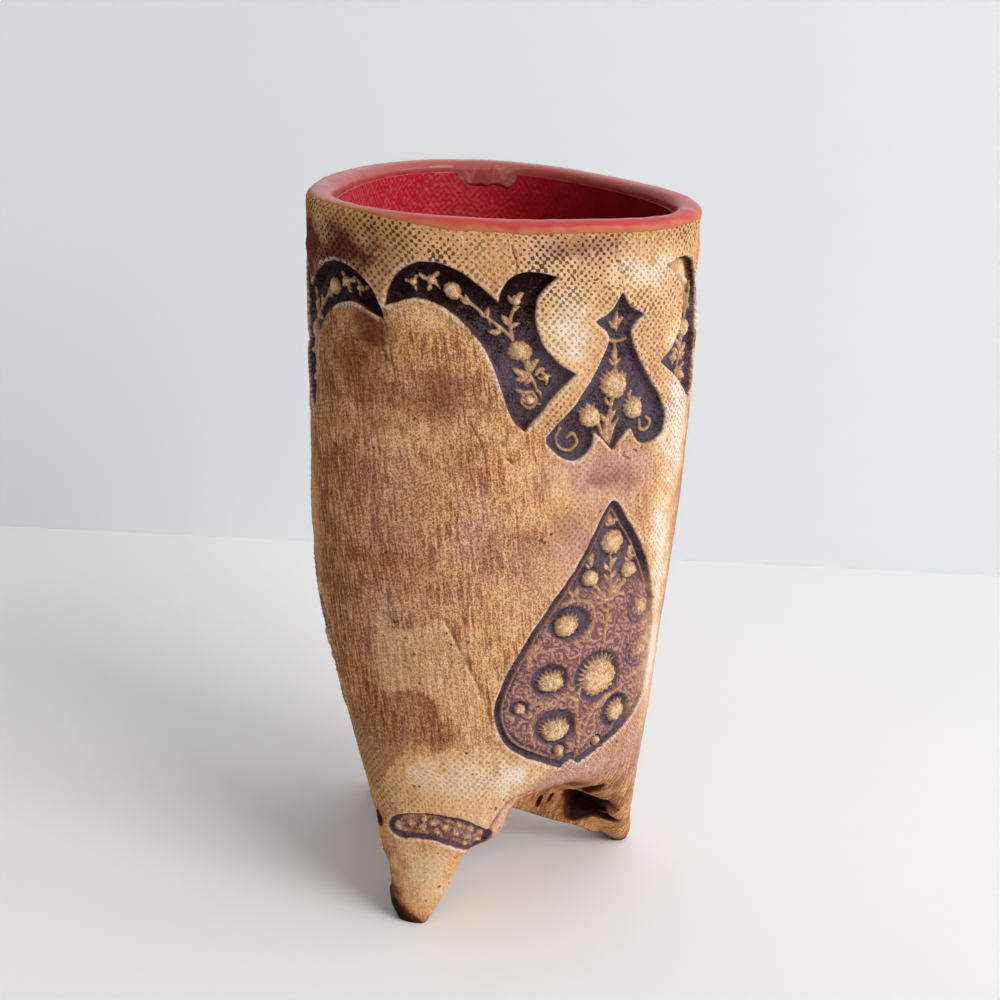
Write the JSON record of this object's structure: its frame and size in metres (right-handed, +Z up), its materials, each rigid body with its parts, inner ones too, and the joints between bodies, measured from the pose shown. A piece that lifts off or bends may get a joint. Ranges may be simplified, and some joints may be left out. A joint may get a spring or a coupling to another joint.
{
  "type": "art pottery vase",
  "caption": "Tall hand-built slab vase of rounded triangular section, twisted, with pinched feet, folded sides, stamped floral panels and a red glazed inside.",
  "frame": {"origin": "on the ground, under the middle of the vase's bounding box", "axes": "+Z up, the front foot towards -Y, +X to the right of a viewer facing the front foot"},
  "size_m": [0.1048, 0.1068, 0.2],
  "materials": {
    "stamped_clay": "matte fired clay, canvas textured, dark oxide in the stamped ornament",
    "folded_clay": "matte fired clay with a brown oxide wash",
    "foot_clay": "smoothed matte fired clay",
    "red_glaze": "deep red gloss glaze",
    "rose_glaze": "thin rose satin glaze"
  },
  "bodies": {
    "root": {"wall_panel_right": "stamped_clay", "wall_panel_rear": "stamped_clay", "wall_panel_left": "stamped_clay", "base_gusset_right": "folded_clay", "base_gusset_rear": "folded_clay", "base_gusset_left": "folded_clay", "foot_front": "foot_clay", "foot_right": "foot_clay", "foot_rear": "foot_clay", "liner_glaze": "red_glaze", "rim_glaze": "rose_glaze"}
  },
  "joints": []
}
